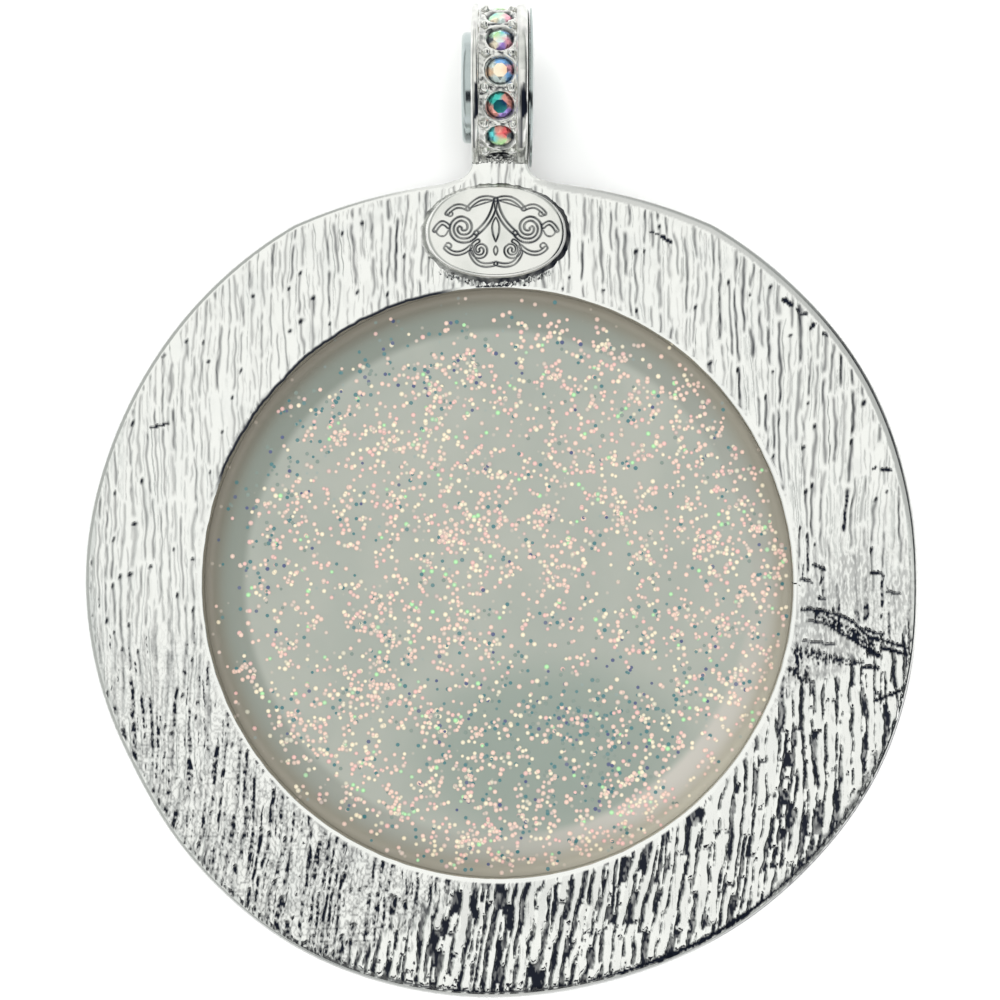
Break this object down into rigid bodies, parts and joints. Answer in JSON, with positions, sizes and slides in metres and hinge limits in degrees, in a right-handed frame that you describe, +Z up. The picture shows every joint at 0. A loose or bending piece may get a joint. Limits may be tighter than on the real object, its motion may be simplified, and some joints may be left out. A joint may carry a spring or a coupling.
{
  "type": "round crystal pendant",
  "caption": "Round silver-tone pendant: flat bark-grained ring round a thick glitter resin disc, raised oval plate, short neck and a fixed ring bail set with crystals.",
  "frame": {"origin": "on the resting surface, under the middle of the pendant's box, as it lies face down", "axes": "+Z up, out of the pendant's back; +Y from the stone towards the bail; +X along the bail's bore, to the right as seen from the back"},
  "size_m": [0.0644, 0.0774, 0.013],
  "materials": {
    "silver_tone": "bright plated casting, bark-grained on the back, polished elsewhere",
    "polished_liner": "polished",
    "glitter_resin": "milky grey-green resin with peach, cream, green and blue glitter",
    "crystal": "cut crystal with a rainbow coating"
  },
  "bodies": {
    "root": {"frame": "silver_tone", "bail": "silver_tone", "bail_liner": "polished_liner", "resin_stone": "glitter_resin", "crystal_1": "crystal", "crystal_2": "crystal", "crystal_3": "crystal", "crystal_4": "crystal", "crystal_5": "crystal", "crystal_6": "crystal", "crystal_7": "crystal", "crystal_8": "crystal", "crystal_9": "crystal", "crystal_10": "crystal", "crystal_11": "crystal", "crystal_12": "crystal"}
  },
  "joints": []
}
